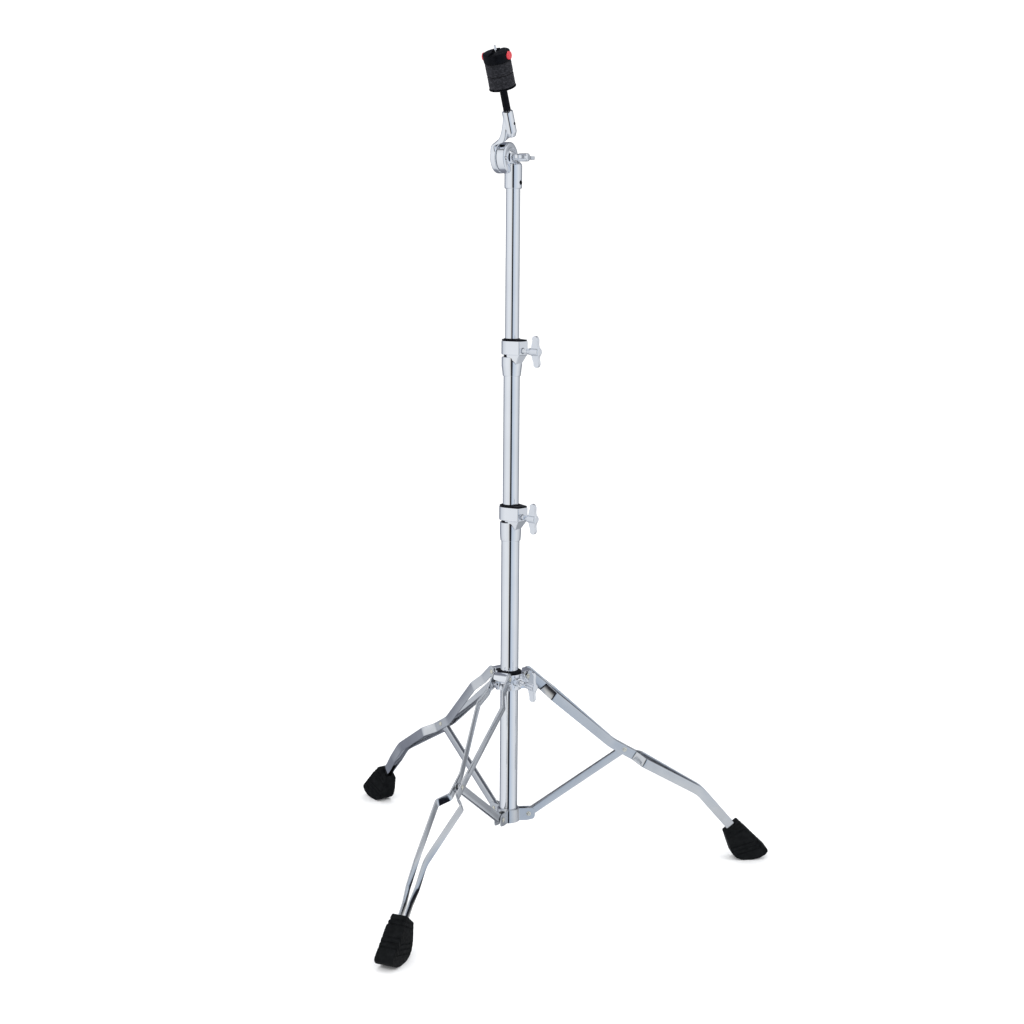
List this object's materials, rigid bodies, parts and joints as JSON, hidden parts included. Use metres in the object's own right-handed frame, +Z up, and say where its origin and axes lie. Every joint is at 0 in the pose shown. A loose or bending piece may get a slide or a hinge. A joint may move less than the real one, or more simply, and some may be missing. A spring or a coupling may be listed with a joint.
{
  "type": "straight cymbal stand",
  "caption": "Straight cymbal stand: double-braced folding tripod, telescopic tubes with wing-bolt clamps, and a tilter with felts and a quick-release cap.",
  "frame": {"origin": "middle of the footprint of the spread tripod, on the floor; the tubes stand on the vertical line 89.37 mm towards -X from it", "axes": "+Z up along the tubes, +X out along the right leg, the other two legs at 120 and 240 degrees"},
  "size_m": [0.5812, 0.6712, 1.1357],
  "materials": {
    "chrome": "polished chrome plate",
    "plated_steel": "chrome-plated flat steel, slightly softer reflections",
    "nickel": "nickel-plated rivet",
    "black_plastic": "black moulded nylon",
    "rubber": "matte black rubber",
    "felt": "charcoal wool felt",
    "red_plastic": "red moulded plastic"
  },
  "bodies": {
    "base": {"base_tube": "chrome", "tube_end_cap": "black_plastic", "bottom_bracket": "plated_steel", "base_clamp": "chrome", "base_clamp_brim": "black_plastic", "right_bracket_rivet": "nickel", "left_bracket_rivet": "nickel", "front_bracket_rivet": "nickel"},
    "hub": {"hub_collar": "chrome", "hub_bushing": "black_plastic", "right_hub_rivet": "nickel", "left_hub_rivet": "nickel", "front_hub_rivet": "nickel"},
    "hub_bolt": {"hub_wing_bolt": "chrome"},
    "base_bolt": {"base_wing_bolt": "chrome"},
    "middle_bolt": {"middle_wing_bolt": "chrome"},
    "base_bushing": {"base_clamp_bushing": "black_plastic"},
    "middle": {"middle_tube": "chrome", "middle_clamp": "chrome", "middle_clamp_brim": "black_plastic"},
    "middle_bushing": {"middle_clamp_bushing": "black_plastic"},
    "upper": {"upper_tube": "chrome", "tilter_holder": "chrome", "holder_set_screw": "black_plastic"},
    "tilter": {"tilter_arm": "chrome", "arm_set_screw": "black_plastic", "cymbal_rod": "chrome", "rod_sleeve": "black_plastic"},
    "tilter_bolt": {"tilter_wing_bolt": "chrome"},
    "lower_felt": {"lower_felt": "felt"},
    "upper_felt": {"upper_felt": "felt"},
    "cap": {"quick_release_cap": "black_plastic"},
    "right_button": {"right_button": "red_plastic"},
    "left_button": {"left_button": "red_plastic"},
    "right_leg": {"right_leg_bar_a": "plated_steel", "right_leg_bar_b": "plated_steel", "right_foot": "rubber", "right_brace_rivet_a": "nickel", "right_brace_rivet_b": "nickel"},
    "right_brace": {"right_brace_bar_a": "plated_steel", "right_brace_bar_b": "plated_steel"},
    "left_leg": {"left_leg_bar_a": "plated_steel", "left_leg_bar_b": "plated_steel", "left_foot": "rubber", "left_brace_rivet_a": "nickel", "left_brace_rivet_b": "nickel"},
    "left_brace": {"left_brace_bar_a": "plated_steel", "left_brace_bar_b": "plated_steel"},
    "front_leg": {"front_leg_bar_a": "plated_steel", "front_leg_bar_b": "plated_steel", "front_foot": "rubber", "front_brace_rivet_a": "nickel", "front_brace_rivet_b": "nickel"},
    "front_brace": {"front_brace_bar_a": "plated_steel", "front_brace_bar_b": "plated_steel"}
  },
  "joints": [
    {"name": "leg_fold", "type": "slide", "parent": "base", "child": "hub", "axis": [0, 0, 1], "range_m": [0, 0.1373]},
    {"name": "hub_bolt_turn", "type": "hinge", "parent": "hub", "child": "hub_bolt", "pos_m": [-0.08937, 0, 0.2764], "axis": [0.5446, -0.8387, 0], "continuous": true},
    {"name": "base_bolt_turn", "type": "hinge", "parent": "base", "child": "base_bolt", "pos_m": [-0.08937, 0, 0.5114], "axis": [0.6293, -0.7771, 0], "continuous": true},
    {"name": "base_swivel", "type": "hinge", "parent": "base", "child": "base_bushing", "pos_m": [-0.08937, 0, 0.5154], "axis": [0, 0, 1], "continuous": true},
    {"name": "middle_height", "type": "slide", "parent": "base_bushing", "child": "middle", "axis": [0, 0, 1], "range_m": [-0.175, 0.11]},
    {"name": "middle_bolt_turn", "type": "hinge", "parent": "middle", "child": "middle_bolt", "pos_m": [-0.08937, 0, 0.7402], "axis": [0.6293, -0.7771, 0], "continuous": true},
    {"name": "middle_swivel", "type": "hinge", "parent": "middle", "child": "middle_bushing", "pos_m": [-0.08937, 0, 0.7442], "axis": [0, 0, 1], "continuous": true},
    {"name": "upper_height", "type": "slide", "parent": "middle_bushing", "child": "upper", "axis": [0, 0, 1], "range_m": [-0.19, 0.12]},
    {"name": "tilt", "type": "hinge", "parent": "upper", "child": "tilter", "pos_m": [-0.0939, -0.00659, 0.9969], "axis": [0.8241, -0.5664, 0], "range_deg": [-114, 66]},
    {"name": "tilter_bolt_turn", "type": "hinge", "parent": "upper", "child": "tilter_bolt", "pos_m": [-0.0939, -0.00659, 0.9969], "axis": [0.8241, -0.5664, 0], "continuous": true},
    {"name": "lower_felt_lift", "type": "slide", "parent": "tilter", "child": "lower_felt", "axis": [-0.2304, -0.3352, 0.9135], "range_m": [0, 0.057]},
    {"name": "upper_felt_lift", "type": "slide", "parent": "lower_felt", "child": "upper_felt", "axis": [-0.2304, -0.3352, 0.9135], "range_m": [0, 0.039]},
    {"name": "cap_lift", "type": "slide", "parent": "upper_felt", "child": "cap", "axis": [-0.2304, -0.3352, 0.9135], "range_m": [0, 0.021]},
    {"name": "right_button_press", "type": "slide", "parent": "cap", "child": "right_button", "axis": [-0.8241, 0.5664, 0], "range_m": [0, 0.0022], "stiffness_N_per_m": 600},
    {"name": "left_button_press", "type": "slide", "parent": "cap", "child": "left_button", "axis": [0.8241, -0.5664, 0], "range_m": [0, 0.0022], "stiffness_N_per_m": 600},
    {"name": "right_leg_hinge", "type": "hinge", "parent": "hub", "child": "right_leg", "pos_m": [-0.06347, 0, 0.2836], "axis": [0, 1, 0], "range_deg": [0, 43.12]},
    {"name": "right_brace_hinge", "type": "hinge", "parent": "base", "child": "right_brace", "pos_m": [-0.06057, 0, 0.0783], "axis": [0, -1, 0], "range_deg": [0, 48.57]},
    {"name": "left_leg_hinge", "type": "hinge", "parent": "hub", "child": "left_leg", "pos_m": [-0.10232, 0.02243, 0.2836], "axis": [-0.866, -0.5, 0], "range_deg": [0, 43.12]},
    {"name": "left_brace_hinge", "type": "hinge", "parent": "base", "child": "left_brace", "pos_m": [-0.10377, 0.02494, 0.0783], "axis": [0.866, 0.5, 0], "range_deg": [0, 48.57]},
    {"name": "front_leg_hinge", "type": "hinge", "parent": "hub", "child": "front_leg", "pos_m": [-0.10232, -0.02243, 0.2836], "axis": [0.866, -0.5, 0], "range_deg": [0, 43.12]},
    {"name": "front_brace_hinge", "type": "hinge", "parent": "base", "child": "front_brace", "pos_m": [-0.10377, -0.02494, 0.0783], "axis": [-0.866, 0.5, 0], "range_deg": [0, 48.57]}
  ],
  "couplings": [
    {"joint": "right_leg_hinge", "follows": "leg_fold", "rad_per_m": 5.4751},
    {"joint": "right_brace_hinge", "follows": "leg_fold", "rad_per_m": 6.1678},
    {"joint": "left_leg_hinge", "follows": "leg_fold", "rad_per_m": 5.4751},
    {"joint": "left_brace_hinge", "follows": "leg_fold", "rad_per_m": 6.1678},
    {"joint": "front_leg_hinge", "follows": "leg_fold", "rad_per_m": 5.4751},
    {"joint": "front_brace_hinge", "follows": "leg_fold", "rad_per_m": 6.1678}
  ]
}
